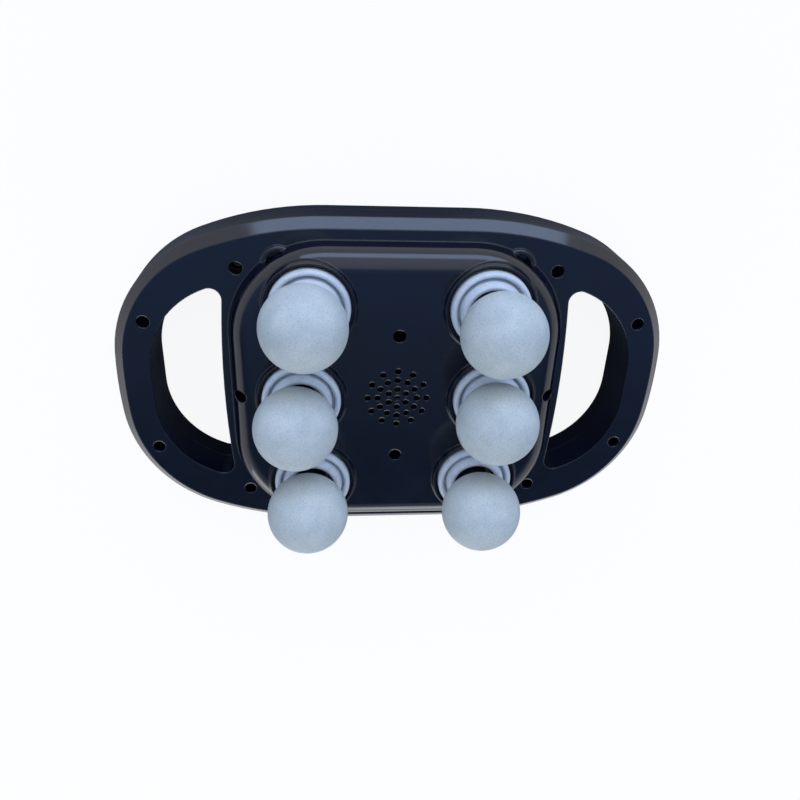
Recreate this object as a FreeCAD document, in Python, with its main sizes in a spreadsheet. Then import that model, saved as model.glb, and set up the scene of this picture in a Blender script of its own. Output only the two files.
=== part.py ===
import FreeCAD
import Part
import math
import os
import re

# Six-head body massager lying on its back, heads up. Millimetres.
# X runs across the two hand grips, Y towards the key panel, Z up along the head axes.
# Z = 0 is the flat of the back, X = Y = 0 is the motor axis.

Vector = FreeCAD.Vector
UP = Vector(0, 0, 1)

SIZES = [
    ("grip_reach", 66, "side of the platform to the outer edge of a grip"),
    ("rim_face", 11.5, "end of the platform to the long edge of the body"),
    ("edge_flat", 80, "straight stretch in the middle of the long edges"),
    ("shoulder_radius", 199, "outline radius next to the straight stretch"),
    ("corner_radius", 78.5, "outline radius at the four corners"),
    ("side_radius", 265, "outline radius along each grip"),
    ("front_depth", 20.5, "parting plane to the front face of the rim"),
    ("rear_depth", 18, "parting plane to the back face of the rim"),
    ("hump_rise", 6, "back hump beyond the rim's back face"),
    ("wall", 2.5, "shell wall"),
    ("hump_wall", 4, "wall of the back hump, which carries the keys"),
    ("rim_chamfer", 5.5, "front edge of the rim"),
    ("rear_round", 10, "back edge of the rim"),
    ("grip_bar", 20.8, "width of a grip bar at its middle"),
    ("grip_step", 4.5, "side of the platform to the inner edge of a grip opening, at its middle"),
    ("grip_flat", 22, "straight stretch in the middle of an opening's outer edge"),
    ("grip_bend", 52.3, "radius of the two outer bends of a grip opening"),
    ("grip_bow", 635, "radius to which the inner edge of an opening is bowed"),
    ("grip_corner", 6.5, "radius of the two inner corners of a grip opening"),
    ("grip_round", 5, "back edge of a grip opening"),
    ("deck_side", 41, "middle head to the side of the platform, at the rim"),
    ("deck_end", 32.76, "end row of heads to the end of the platform, at the rim"),
    ("deck_corner", 55, "corner radius of the platform"),
    ("deck_rise", 15, "platform above the rim face"),
    ("deck_draft", 4, "how far the platform's walls lean in"),
    ("deck_round", 12, "rounding of the platform's edge"),
    ("hump_side", 6, "side of the platform to the side of the back hump"),
    ("hump_end", 6.5, "end of the platform to the end of the back hump"),
    ("hump_corner", 40, "corner radius of the hump"),
    ("hump_draft", 5, "how far the hump's walls lean in"),
    ("hump_round", 2.5, "rounding of the hump's edge"),
    ("gear_module", 1, "tooth size of the whole train"),
    ("pinion_teeth", 20, "teeth of the motor pinion"),
    ("relay_teeth", 31, "teeth of the wheels next to the pinion"),
    ("wheel_teeth", 28, "teeth of the crank wheels and of the idlers between them"),
    ("end_inset", 5.4, "end heads nearer to the middle line than the middle heads"),
    ("gear_width", 6.5, "face width of the wheels"),
    ("backlash", 0.16, "tooth play of a meshing pair"),
    ("run_clear", 0.05, "radial play of a running fit"),
    ("side_clear", 0.5, "axial play of a turning piece"),
    ("plate_level", 12, "parting plane to the underside of the gear plate"),
    ("plate_thick", 3, "gear plate"),
    ("plate_side", 21, "middle head to the side of the gear plate"),
    ("plate_end", 11, "end row of heads to the end of the gear plate"),
    ("plate_corner", 10, "corner radius of the gear plate"),
    ("plate_boss", 2, "wall around a bush or pin in the gear plate"),
    ("tube_clear", 0.6, "play between the gear plate and a screw well"),
    ("post_radius", 3.5, "post that carries the gear plate"),
    ("post_out", 19, "idlers of a column to the outer posts"),
    ("post_near", 26, "middle line to the inner posts"),
    ("post_in", 20, "end row of heads to the inner posts"),
    ("ball_gap", 5.3, "least room between two balls of a column"),
    ("ball_standoff", 32, "platform face to the centre of a ball"),
    ("ball_wall", 5, "hollow ball"),
    ("stem_radius", 10, "stem that carries a ball"),
    ("stem_sunk", 5.6, "end of the stem below the centre of its ball"),
    ("keeper_room", 5.3, "room for the keeper screw in the end of the stem"),
    ("crank_throw", 2.5, "offset of the crank pin from its spindle"),
    ("crank_pin", 5, "crank pin radius"),
    ("spindle_radius", 4, "crank spindle"),
    ("web_radius", 9, "disc between spindle and crank pin"),
    ("web_thick", 3, "disc between spindle and crank pin"),
    ("bush_radius", 6, "outside of a spindle bush"),
    ("bush_length", 9, "spindle bush"),
    ("bush_flange", 1.5, "flange of a spindle bush"),
    ("clip_groove", 1.2, "groove for the clip on a spindle"),
    ("clip_depth", 0.6, "groove for the clip on a spindle"),
    ("clip_width", 2.2, "clip beyond the spindle"),
    ("clip_play", 0.1, "play of a clip in its groove"),
    ("keeper_screw", 1.45, "thread of the screw that keeps a stem on its pin"),
    ("keeper_grip", 7, "keeper screw in the pin"),
    ("keeper_head", 2.75, "head radius of a keeper screw"),
    ("keeper_rise", 3.2, "head of a keeper screw with its washer"),
    ("keeper_washer", 2.5, "washer beyond the crank pin"),
    ("washer_thick", 1.2, "keeper washer"),
    ("idler_pin", 3, "radius of an idler wheel's pin"),
    ("pin_head", 2, "head of an idler pin beyond the pin"),
    ("pin_head_rise", 1.2, "head of an idler pin"),
    ("socket_gap", 5, "room between two collars of a column"),
    ("socket_rim", 2.7, "collar around the hole for a boot"),
    ("socket_rise", 3, "collar above the platform face"),
    ("socket_lip", 1.2, "wall of the collar above the platform face"),
    ("socket_draft", 0.8, "how far the collar's outside leans in"),
    ("boot_fit", 0.3, "radial play of a boot in its hole"),
    ("boot_bead", 0.8, "bead of a boot behind the edge of its hole"),
    ("boot_wall", 1.6, "wall of a boot"),
    ("boot_fold", 3.8, "width of a boot's outer fold"),
    ("boot_fold_rise", 6, "outer fold above the platform"),
    ("boot_inner_fold", 2.9, "width of a boot's inner fold"),
    ("boot_inner_rise", 10, "inner fold above the platform"),
    ("boot_clear", 0.3, "play between a boot and the sweep of its stem"),
    ("boot_web", 1.5, "thickness of a boot's web, and its height above the platform"),
    ("motor_radius", 20, "motor can"),
    ("motor_length", 29, "motor can"),
    ("motor_wall", 3, "side of the motor can"),
    ("motor_cap", 2.5, "end of the motor can"),
    ("motor_spigot", 7.9, "boss of the motor in the gear plate"),
    ("spigot_fit", 0.1, "radial play of that boss"),
    ("rotor_gap", 1, "air gap around the rotor"),
    ("motor_bolt", 11, "motor axis to a motor screw, along X and along Y"),
    ("shaft_radius", 2.5, "motor shaft"),
    ("fan_radius", 18, "cooling fan"),
    ("fan_width", 5.5, "cooling fan"),
    ("fan_blade", 1.4, "thickness of a fan blade"),
    ("fan_hub", 3, "wall of the fan's hub"),
    ("fan_clear", 1.5, "cooling fan to the roof of the platform"),
    ("vent_hole", 1.75, "radius of a vent hole"),
    ("vent_step", 5.7, "spacing of the rings of vent holes"),
    ("well_radius", 3.6, "screw well"),
    ("well_wall", 1.8, "wall of a screw well"),
    ("well_floor", 6, "parting plane to the floor of a screw well"),
    ("boss_radius", 10.3, "round boss at each corner of the platform"),
    ("boss_in", 30.1, "side of the platform to the middle of a boss"),
    ("boss_end", 13.5, "end of the platform to the middle of a boss"),
    ("boss_rise", 2, "boss above the rim face"),
    ("boss_round", 1.5, "rounding of the top of a boss"),
    ("pocket_radius", 7.2, "pocket in a boss"),
    ("pocket_depth", 3, "floor of the pocket below the rim face"),
    ("pocket_cut", 2, "how far the pocket goes into the wall of the platform"),
    ("screw_radius", 1.45, "thread of a case screw"),
    ("screw_head", 3, "head radius of a case screw"),
    ("screw_length", 17, "thread of a case screw"),
    ("screw_boss", 4.5, "radius of a boss that takes a case screw"),
    ("screw_head_rise", 2.2, "head of a case screw"),
    ("screw_drive", 1.1, "recess for the driver"),
    ("screw_clear", 0.25, "radial play of a screw in a clear hole"),
    ("plate_screw", 1.2, "thread of a gear plate screw"),
    ("plate_screw_grip", 10, "gear plate screw in its post"),
    ("plate_screw_head", 2.8, "head radius of a gear plate or motor screw"),
    ("plate_screw_rise", 1.6, "head of a gear plate or motor screw"),
    ("corner_screw_in", 6.8, "side of the platform to a corner screw"),
    ("corner_screw_end", 16.3, "end of the platform to a corner screw"),
    ("grip_screw_out", 0.8, "outermost edge of a grip opening to a grip screw, along X"),
    ("grip_screw_row", 40.6, "middle of the grip to a grip screw, along Y"),
    ("side_screw_in", 6, "side of the platform to a side screw"),
    ("middle_screw", 38.8, "motor axis to a middle screw"),
    ("cell_radius", 9.2, "battery cell"),
    ("cell_length", 65, "battery cell"),
    ("cell_side", 21, "least room from the end of the battery tray to the side of the hump"),
    ("cell_edge", 27.5, "end of the hump to the row of cells"),
    ("cell_clear", 1, "play between the cells and what holds them"),
    ("tray_wall", 1.5, "wall of the battery tray"),
    ("tray_depth", 6, "battery tray"),
    ("tray_end", 2, "end wall and divider of the battery tray"),
    ("tray_end_rise", 12, "end wall of the battery tray"),
    ("panel_width", 134, "key panel"),
    ("panel_height", 30, "key panel"),
    ("panel_edge", 25, "end of the hump to the middle of the key panel"),
    ("panel_thick", 1.2, "key panel"),
    ("panel_sunk", 1.6, "depth of the recess that holds the key panel"),
    ("panel_fit", 0.2, "play around the key panel"),
    ("window_width", 36, "display window"),
    ("window_height", 16, "display window"),
    ("window_corner", 2, "display window"),
    ("window_fit", 0.1, "play around the display window"),
    ("key_pitch", 20, "spacing of the two keys on each side"),
    ("key_start", 30, "middle of the panel to its first keys"),
    ("key_radius", 6, "key"),
    ("key_gap", 0.2, "play around and under a key"),
    ("key_sunk", 0.3, "key face below the flat of the back"),
    ("key_travel", 0.9, "stroke of a key"),
    ("key_flange", 1.2, "flange that holds a key in the panel's wall"),
    ("key_stalk", 2.8, "stalk between a key and its switch"),
    ("board_thick", 1.6, "control board"),
    ("board_level", 12.9, "flat of the back to the control board"),
    ("board_margin", 2, "edge of the key panel to the edge of the control board"),
    ("board_post", 3, "radius of a post under the control board"),
    ("board_post_in", 7, "end of the key panel to a board post"),
    ("board_post_row", 9.5, "middle of the key panel to a board post"),
    ("port_place", 20, "charge socket from the middle of the lower edge"),
    ("port_width", 9.4, "charge socket"),
    ("port_height", 3.8, "charge socket"),
    ("port_depth", 8, "charge socket"),
    ("port_fit", 0.1, "play around the charge socket"),
    ("port_level", 6, "underside of the charge socket's hole to the parting plane"),
]

# Levels and places that follow from the sizes
DERIVED = [
    ("parting", "rear_depth + hump_rise", "parting plane"),
    ("rim", "parting + front_depth", "front face of the rim"),
    ("deck", "rim + deck_rise", "face of the platform"),
    ("roof", "deck - wall", "inner face of the platform"),
    ("plate", "parting + plate_level", "underside of the gear plate"),
    ("plate_top", "plate + plate_thick", "top of the gear plate"),
    ("wheel", "plate_top + bush_flange + 2 * side_clear", "underside of the wheels"),
    ("wheel_top", "wheel + gear_width", "top of the wheels"),
    ("web_top", "wheel_top + web_thick", "top of the crank webs"),
    ("ball", "deck + ball_standoff", "centres of the balls"),
    ("stem_end", "ball - stem_sunk", "upper ends of the stems"),
    ("pin_end", "stem_end - keeper_room", "upper ends of the crank pins"),
    ("head_pitch", "2 * gear_module * wheel_teeth", "spacing of the heads of a column"),
    ("relay_x", "gear_module * (pinion_teeth + relay_teeth) / 2", "relay wheels from the motor axis"),
    ("middle_x", "relay_x + gear_module * (relay_teeth + wheel_teeth) / 2", "middle heads from the motor axis"),
    ("end_x", "middle_x - end_inset", "end heads from the middle line"),
    ("column_x", "(middle_x + end_x) / 2", "idlers of a column from the middle line"),
    ("row_y", "sqrt(head_pitch ^ 2 - end_inset ^ 2)", "end rows of heads from the motor axis"),
    ("ball_radius", "(head_pitch - ball_gap) / 2 - crank_throw", "massage ball"),
    ("socket_radius", "(head_pitch - socket_gap) / 2 - socket_rim", "hole in the platform for a boot"),
    ("tray_half", "cell_length + 2 * cell_clear + tray_end", "half the battery tray"),
    ("hump_least", "tray_half + cell_side + hump_side", "half the platform that the cells need"),
    ("deck_half_width", "max(middle_x + deck_side; hump_least)", "half the platform at the rim"),
    ("deck_half_height", "row_y + deck_end", "half the platform at the rim"),
    ("half_width", "deck_half_width + grip_reach", "half the body"),
    ("half_height", "deck_half_height + rim_face", "half the body"),
    ("hump_half_width", "deck_half_width - hump_side", "half the back hump at the rim"),
    ("hump_half_height", "deck_half_height - hump_end", "half the back hump at the rim"),
    ("grip_edge", "half_width - grip_bar", "motor axis to the outer edge of a grip opening"),
    ("grip_inner", "deck_half_width + grip_step", "motor axis to the straight edge of a grip opening"),
    ("cell_row", "hump_half_height - cell_edge", "motor axis to the row of cells"),
    ("panel_row", "hump_half_height - panel_edge", "motor axis to the middle of the key panel"),
]

doc = FreeCAD.newDocument("massager")
sheet = doc.addObject("Spreadsheet::Sheet", "Sizes")
for row, (alias, number, note) in enumerate(SIZES, 1):
    sheet.set(f"A{row}", note)
    sheet.set(f"B{row}", str(number))
    sheet.setAlias(f"B{row}", alias)
for row, (alias, text, note) in enumerate(DERIVED, 1):
    sheet.set(f"D{row}", note)
    sheet.set(f"E{row}", f"={text}")
    sheet.setAlias(f"E{row}", alias)
doc.recompute()
ALIASES = {alias for alias, value, note in SIZES + DERIVED}
S = {alias: float(sheet.get(alias)) for alias in ALIASES}

parting, rim, deck, roof = S["parting"], S["rim"], S["deck"], S["roof"]
plate, plate_top, wheel = S["plate"], S["plate_top"], S["wheel"]
middle_x, end_x, row_y = S["middle_x"], S["end_x"], S["row_y"]
relay_x, column_x = S["relay_x"], S["column_x"]
deck_x, deck_y = S["deck_half_width"], S["deck_half_height"]

# The six heads: column, row and the direction in which the crank pin stands at rest.
HEADS = {
    "top_left": (-1, 1, 152),
    "middle_left": (-1, 0, 207),
    "bottom_left": (-1, -1, 214),
    "top_right": (1, 1, 300),
    "middle_right": (1, 0, 160),
    "bottom_right": (1, -1, 251),
}
IDLERS = {
    "upper_left": (-column_x, row_y / 2),
    "lower_left": (-column_x, -row_y / 2),
    "relay_left": (-relay_x, 0),
    "upper_right": (column_x, row_y / 2),
    "lower_right": (column_x, -row_y / 2),
    "relay_right": (relay_x, 0),
}
RIM_SCREWS = [
    (deck_x - S["corner_screw_in"], deck_y - S["corner_screw_end"]),
    (S["grip_edge"] + S["grip_screw_out"], S["grip_screw_row"]),
]
BOSS = (deck_x - S["boss_in"], deck_y - S["boss_end"])
SIDE_SCREW = (deck_x - S["side_screw_in"], 0)
MIDDLE_SCREW = (0, S["middle_screw"])
PLATE_POSTS = [(column_x + S["post_out"], row_y / 2), (S["post_near"], row_y - S["post_in"])]
MOTOR_SCREWS = [(S["motor_bolt"], S["motor_bolt"])]
BOARD_POSTS = [(S["panel_width"] / 2 - S["board_post_in"], S["board_post_row"])]
key_near, key_far = S["key_start"], S["key_start"] + S["key_pitch"]
KEYS = {"power_key": -key_far, "mode_key": -key_near, "faster_key": key_near, "slower_key": key_far}


def mirrored(points):
    """The points with their mirror images in X and Y, each place once."""
    places = []
    for x, y in points:
        for place in ((x, y), (-x, y), (x, -y), (-x, -y)):
            if place not in places:
                places.append(place)
    return places


CASE_SCREWS = mirrored(RIM_SCREWS + [SIDE_SCREW, MIDDLE_SCREW])


def head_place(name):
    column, row, phase = HEADS[name]
    return column * (end_x if row else middle_x), row * row_y


def pin_place(name):
    x, y = head_place(name)
    turn = math.radians(HEADS[name][2])
    return x + S["crank_throw"] * math.cos(turn), y + S["crank_throw"] * math.sin(turn)


# Document objects bound to the sheet
def formula(text):
    """A size text with each alias spelled as a cell of the sheet."""
    return re.sub(r"[a-z_]+", lambda word: "Sizes." + word[0] if word[0] in ALIASES else word[0], str(text))


def bind(obj, sizes, x=0, y=0, z=0):
    for prop, text in sizes.items():
        obj.setExpression(prop, formula(text))
    for axis, text in zip("xyz", (x, y, z)):
        obj.setExpression(f"Placement.Base.{axis}", formula(text))
    return obj


def cylinder(radius, length, x=0, y=0, z=0):
    return bind(doc.addObject("Part::Cylinder", "Cylinder"), {"Radius": radius, "Height": length}, x, y, z)


def lying_cylinder(radius, length, x=0, y=0, z=0):
    """A cylinder along X that starts at the given place."""
    obj = doc.addObject("Part::Cylinder", "Cylinder")
    obj.Placement.Rotation = FreeCAD.Rotation(Vector(0, 1, 0), 90)
    return bind(obj, {"Radius": radius, "Height": length}, x, y, z)


def box(length, width, height, x=0, y=0, z=0):
    """A box centred on x and y that stands on z."""
    sizes = {"Length": length, "Width": width, "Height": height}
    return bind(doc.addObject("Part::Box", "Box"), sizes, f"{x} - ({length}) / 2", f"{y} - ({width}) / 2", z)


def sphere(radius, x=0, y=0, z=0):
    return bind(doc.addObject("Part::Sphere", "Sphere"), {"Radius": radius}, x, y, z)


def joined(parts, label="Joined"):
    obj = doc.addObject("Part::MultiFuse", label)
    obj.Shapes = parts
    return obj


def cut(base, tools, label="Cut"):
    obj = doc.addObject("Part::Cut", label)
    obj.Base = base
    obj.Tool = tools[0] if len(tools) == 1 else joined(tools)
    return obj


def group(parts, label):
    obj = doc.addObject("Part::Compound", label)
    obj.Links = parts
    return obj


def feature(shape, label):
    obj = doc.addObject("Part::Feature", label)
    obj.Shape = shape
    return obj


NODES = []


def node(obj, label):
    obj.Label = label
    NODES.append(obj)
    return obj


# Outlines drawn with lines and arcs
def arc(centre, radius, start, end):
    """Arc from one direction to another, in degrees, counter-clockwise."""
    circle = Part.Circle(Vector(*centre, 0), UP, radius)
    return Part.Arc(circle, math.radians(start), math.radians(end)).toShape()


def direction(origin, target):
    return math.degrees(math.atan2(target[1] - origin[1], target[0] - origin[0]))


def mirrored_wire(edges):
    """The quarter outline in the first quadrant, mirrored into all four."""
    half = edges + [edge.mirror(Vector(), Vector(1, 0, 0)) for edge in edges]
    every = half + [edge.mirror(Vector(), Vector(0, 1, 0)) for edge in half]
    return Part.Wire(Part.__sortEdges__(every))


def body_wire(inset=0):
    """Body outline: a straight stretch, then shoulder, corner and side arcs that meet without a kink."""
    half_width = S["half_width"] - inset
    half_height = S["half_height"] - inset
    flat = S["edge_flat"] / 2
    shoulder, corner, side = (S[key] - inset for key in ("shoulder_radius", "corner_radius", "side_radius"))
    shoulder_centre = (flat, half_height - shoulder)
    side_centre = (half_width - side, 0)
    to_shoulder, to_side = shoulder - corner, side - corner
    apart = math.dist(shoulder_centre, side_centre)
    along = (to_shoulder**2 - to_side**2 + apart**2) / (2 * apart)
    across = math.sqrt(to_shoulder**2 - along**2)
    ux = (side_centre[0] - shoulder_centre[0]) / apart
    uy = (side_centre[1] - shoulder_centre[1]) / apart
    foot = (shoulder_centre[0] + along * ux, shoulder_centre[1] + along * uy)
    corner_centre = max((foot[0] - turn * across * uy, foot[1] + turn * across * ux) for turn in (1, -1))
    first = direction(shoulder_centre, corner_centre)
    second = direction(side_centre, corner_centre)
    return mirrored_wire([
        Part.makeLine(Vector(0, half_height, 0), Vector(flat, half_height, 0)),
        arc(shoulder_centre, shoulder, first, 90),
        arc(corner_centre, corner, second, first),
        arc(side_centre, side, 0, second),
    ])


def rounded_wire(width, height, radius):
    """Rectangle with rounded corners about the origin."""
    x, y = width / 2, height / 2
    return mirrored_wire([
        Part.makeLine(Vector(0, y, 0), Vector(x - radius, y, 0)),
        arc((x - radius, y - radius), radius, 0, 90),
        Part.makeLine(Vector(x, 0, 0), Vector(x, y - radius, 0)),
    ])


def slab(wire, low, high):
    solid = Part.Face(wire).extrude(UP * (high - low))
    solid.translate(UP * low)
    return solid


def leaning(width, height, radius, lean, low, high):
    """Rounded block whose walls lean in by the given amount from low to high."""
    foot = rounded_wire(width, height, radius)
    head = rounded_wire(width - 2 * lean, height - 2 * lean, radius - lean)
    foot.translate(UP * low)
    head.translate(UP * high)
    return Part.makeLoft([foot, head], True, True)


def rounded_at(solid, level, radius, chamfer=False):
    """The solid with the edges that lie at one level rounded or chamfered."""
    edges = [e for e in solid.Edges if all(abs(v.Z - level) < 1e-6 for v in e.Vertexes)]
    edges = [e for e in edges if abs(e.BoundBox.ZLength) < 1e-6]
    return solid.makeChamfer(radius, edges) if chamfer else solid.makeFillet(radius, edges)


def pillar(radius, low, high, x=0, y=0):
    return Part.makeCylinder(radius, high - low, Vector(x, y, low))


def grip_opening(grow, low, high, side):
    """Opening of one grip: a rounded block with its inner side cut off along a slight bow, grown all round."""
    bend = S["grip_bend"] + grow
    solid = slab(rounded_wire(2 * bend, S["grip_flat"] + 2 * bend, bend - S["run_clear"]), low, high)
    solid.translate(Vector(S["grip_edge"] - S["grip_bend"], 0, 0))
    bow = S["grip_bow"] - grow
    solid = solid.cut(pillar(bow, low - 1, high + 1, S["grip_inner"] - S["grip_bow"]))
    upright = [e for e in solid.Edges if e.BoundBox.ZLength > 1 and abs(e.Vertexes[0].Y) > S["grip_flat"]]
    sharp = min(e.Vertexes[0].X for e in upright)
    upright = [e for e in upright if abs(e.Vertexes[0].X - sharp) < 1e-3]
    solid = solid.makeFillet(S["grip_corner"] + grow, upright)
    return solid if side > 0 else solid.mirror(Vector(), Vector(1, 0, 0))


def both_openings(grow, low, high):
    return [grip_opening(grow, low, high, side) for side in (1, -1)]


# Casing
def screw_top(x, y):
    """Level up to which a screw's well stands inside the front shell."""
    if (abs(x), abs(y)) == MIDDLE_SCREW or (abs(x), abs(y)) == SIDE_SCREW:
        return deck
    return rim


def front_shell():
    wall = S["wall"]
    outer = rounded_at(slab(body_wire(), parting, rim), rim, S["rim_chamfer"], chamfer=True)
    platform = leaning(2 * deck_x, 2 * deck_y, S["deck_corner"], S["deck_draft"], rim, deck)
    platform = rounded_at(platform, deck, S["deck_round"])
    boss_top = rim + S["boss_rise"]
    bosses = [pillar(S["boss_radius"], parting, boss_top, x, y) for x, y in mirrored([BOSS])]
    bosses = [rounded_at(solid, boss_top, S["boss_round"]) for solid in bosses]
    collar = S["socket_radius"] + S["socket_rim"]
    collars = [pillar(collar + S["socket_draft"], rim, deck, *head_place(name)) for name in HEADS]
    collars += [
        Part.makeCone(collar + S["socket_draft"], collar, S["socket_rise"], Vector(*head_place(name), deck))
        for name in HEADS
    ]
    outer = outer.fuse([platform] + bosses + collars)

    inner_chamfer = S["rim_chamfer"] - wall * (2 - math.sqrt(2))
    inside = rounded_at(slab(body_wire(wall), parting, rim - wall), rim - wall, inner_chamfer, True)
    inside = inside.cut(both_openings(wall, parting, rim))
    room_x, room_y = 2 * (deck_x - wall), 2 * (deck_y - wall)
    room = leaning(room_x, room_y, S["deck_corner"] - wall, S["deck_draft"], rim - wall, roof)
    room = rounded_at(room, roof, S["deck_round"] - wall)
    seats = [pillar(S["socket_radius"] + S["boot_bead"], rim, roof, *head_place(name)) for name in HEADS]
    inside = inside.fuse([room] + seats)
    tube = S["well_radius"] + S["well_wall"]
    tubes = [pillar(tube, parting, screw_top(x, y), x, y).common(outer) for x, y in CASE_SCREWS]
    posts = [pillar(S["post_radius"], plate_top, roof, x, y) for x, y in mirrored(PLATE_POSTS)]
    pocket_low = rim - S["pocket_depth"]
    cup = S["pocket_radius"] + S["well_wall"]
    cups = [pillar(cup, pocket_low - S["well_wall"], boss_top, x, y).common(outer) for x, y in mirrored([BOSS])]
    shell = outer.cut(inside).fuse(tubes + posts + cups)

    holes = both_openings(0, parting - 1, rim + 1)
    collar_top = deck + S["socket_rise"]
    holes += [pillar(S["socket_radius"], roof - 1, collar_top + 1, *head_place(name)) for name in HEADS]
    holes += [pillar(collar - S["socket_lip"], deck, collar_top + 1, *head_place(name)) for name in HEADS]
    core_x, core_y = 2 * (deck_x - S["pocket_cut"]), 2 * (deck_y - S["pocket_cut"])
    core = slab(rounded_wire(core_x, core_y, S["deck_corner"] - S["pocket_cut"]), parting, deck + 1)
    holes += [pillar(S["pocket_radius"], pocket_low, deck, x, y).cut(core) for x, y in mirrored([BOSS])]
    holes += [pillar(S["well_radius"], parting + S["well_floor"], deck + 1, x, y) for x, y in CASE_SCREWS]
    screw_hole = S["screw_radius"] + S["screw_clear"]
    holes += [pillar(screw_hole, parting - 1, parting + S["well_floor"] + 1, x, y) for x, y in CASE_SCREWS]
    pilot = S["plate_screw"] + S["run_clear"]
    pilot_top = plate_top + S["plate_screw_grip"] + 2
    holes += [pillar(pilot, plate_top - 1, pilot_top, x, y) for x, y in mirrored(PLATE_POSTS)]
    holes += [pillar(S["vent_hole"], roof - 1, deck + 1)]
    for ring, count, start in ((1, 6, 30), (2, 12, 0), (3, 12, 0)):
        for step in range(count):
            turn = math.radians(start + 360 * step / count)
            x, y = ring * S["vent_step"] * math.cos(turn), ring * S["vent_step"] * math.sin(turn)
            holes.append(pillar(S["vent_hole"], roof - 1, deck + 1, x, y))
    return shell.cut(holes).removeSplitter()


def panel_outline(inset):
    """Outline of the key panel with round ends, drawn in by the given amount."""
    height = S["panel_height"] - 2 * inset
    return rounded_wire(S["panel_width"] - 2 * inset, height, height / 2 - S["run_clear"])


def rear_shell():
    wall = S["wall"]
    back = S["hump_rise"]
    outer = rounded_at(slab(body_wire(), back, parting), back, S["rear_round"])
    hump_x, hump_y = 2 * S["hump_half_width"], 2 * S["hump_half_height"]
    hump = leaning(hump_x, hump_y, S["hump_corner"], S["hump_draft"], 0, back + wall)
    hump = hump.mirror(Vector(0, 0, (back + wall) / 2), UP)
    outer = outer.fuse(rounded_at(hump, 0, S["hump_round"]))
    openings = both_openings(0, back - 1, parting + 1)
    outer = outer.cut(openings)
    reach = (S["hump_half_width"] + S["grip_inner"]) / 2
    limit = S["grip_edge"] + S["run_clear"]
    lips = [e for e in outer.Edges if abs(e.BoundBox.ZMin - back) + abs(e.BoundBox.ZMax - back) < 1e-6]
    lips = [e for e in lips if e.BoundBox.XMin > reach or e.BoundBox.XMax < -reach]
    lips = [e for e in lips if e.BoundBox.XMax < limit and e.BoundBox.XMin > -limit]
    outer = outer.makeFillet(S["grip_round"], lips)

    inside = slab(body_wire(wall), back + wall, parting)
    inside = rounded_at(inside, back + wall, S["rear_round"] - wall)
    inside = inside.cut(both_openings(wall, back, parting))
    shrink = wall + S["hump_draft"]
    room_wire = rounded_wire(hump_x - 2 * shrink, hump_y - 2 * shrink, S["hump_corner"] - shrink)
    inside = inside.fuse(slab(room_wire, S["hump_wall"], back + wall + 1))
    tubes = [pillar(S["screw_boss"], 1, parting, x, y).common(outer) for x, y in CASE_SCREWS]
    board_posts = [
        pillar(S["board_post"], S["hump_wall"] / 2, S["board_level"], x, S["panel_row"] + y)
        for x, y in mirrored(BOARD_POSTS)
    ]
    shell = outer.cut(inside).fuse(tubes + board_posts)

    pilot = S["screw_radius"] + S["run_clear"]
    pilot_low = parting + S["well_floor"] - S["screw_length"] - 1
    holes = [pillar(pilot, pilot_low, parting + 1, x, y) for x, y in CASE_SCREWS]
    recess = slab(panel_outline(0), -1, S["panel_sunk"])
    recess.translate(Vector(0, S["panel_row"], 0))
    holes.append(recess)
    key_hole = S["key_radius"] + S["key_gap"]
    holes += [pillar(key_hole, 0, S["hump_wall"] + 2, x, S["panel_row"]) for x in KEYS.values()]
    port_width = S["port_width"] + 2 * S["port_fit"]
    port_corner = Vector(S["port_place"] - port_width / 2, -S["half_height"] - 1, parting - S["port_level"])
    port_depth = S["port_depth"] + 2
    holes.append(Part.makeBox(port_width, port_depth, S["port_height"] + 2 * S["port_fit"], port_corner))
    return shell.cut(holes).removeSplitter()


node(feature(front_shell(), "FrontShell"), "front_shell")
node(feature(rear_shell(), "RearShell"), "rear_shell")

case_screws = []
for x, y in CASE_SCREWS:
    floor = "parting + well_floor"
    thread = cylinder("screw_radius", "screw_length", x, y, f"{floor} - screw_length")
    drive = cylinder("screw_drive", "screw_head_rise", x, y, f"{floor} + screw_head_rise / 2")
    head = cut(cylinder("screw_head", "screw_head_rise", x, y, floor), [drive])
    case_screws.append(joined([thread, head]))
node(group(case_screws, "CaseScrews"), "case_screws")

# Gear plate with its bushes, pins and screws
plate_wire = rounded_wire(2 * (middle_x + S["plate_side"]), 2 * (row_y + S["plate_end"]), S["plate_corner"])
plate_block = slab(plate_wire, plate, plate_top)
bush_low = plate_top - S["bush_length"]
bush_places = [head_place(name) for name in HEADS]
plate_block = plate_block.fuse(
    [pillar(S["bush_radius"] + S["plate_boss"], bush_low, plate_top, x, y) for x, y in bush_places]
    + [pillar(S["idler_pin"] + S["plate_boss"], bush_low + 1, plate_top, x, y) for x, y in IDLERS.values()]
)
plate_holes = [pillar(S["bush_radius"], bush_low - 1, plate_top + 1, x, y) for x, y in bush_places]
plate_holes += [pillar(S["idler_pin"], bush_low - 1, plate_top + 1, x, y) for x, y in IDLERS.values()]
plate_hole = S["screw_radius"] + S["screw_clear"]
plate_screws = mirrored(PLATE_POSTS + MOTOR_SCREWS)
plate_holes += [pillar(plate_hole, plate - 1, plate_top + 1, x, y) for x, y in plate_screws]
tube_hole = S["well_radius"] + S["well_wall"] + S["tube_clear"]
plate_holes += [pillar(tube_hole, plate - 1, plate_top + 1, x, y) for x, y in mirrored([MIDDLE_SCREW])]
plate_holes += [pillar(S["motor_spigot"] + S["spigot_fit"], plate - 1, plate_top + 1)]
node(feature(plate_block.cut(plate_holes).removeSplitter(), "GearPlate"), "gear_plate")

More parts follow.
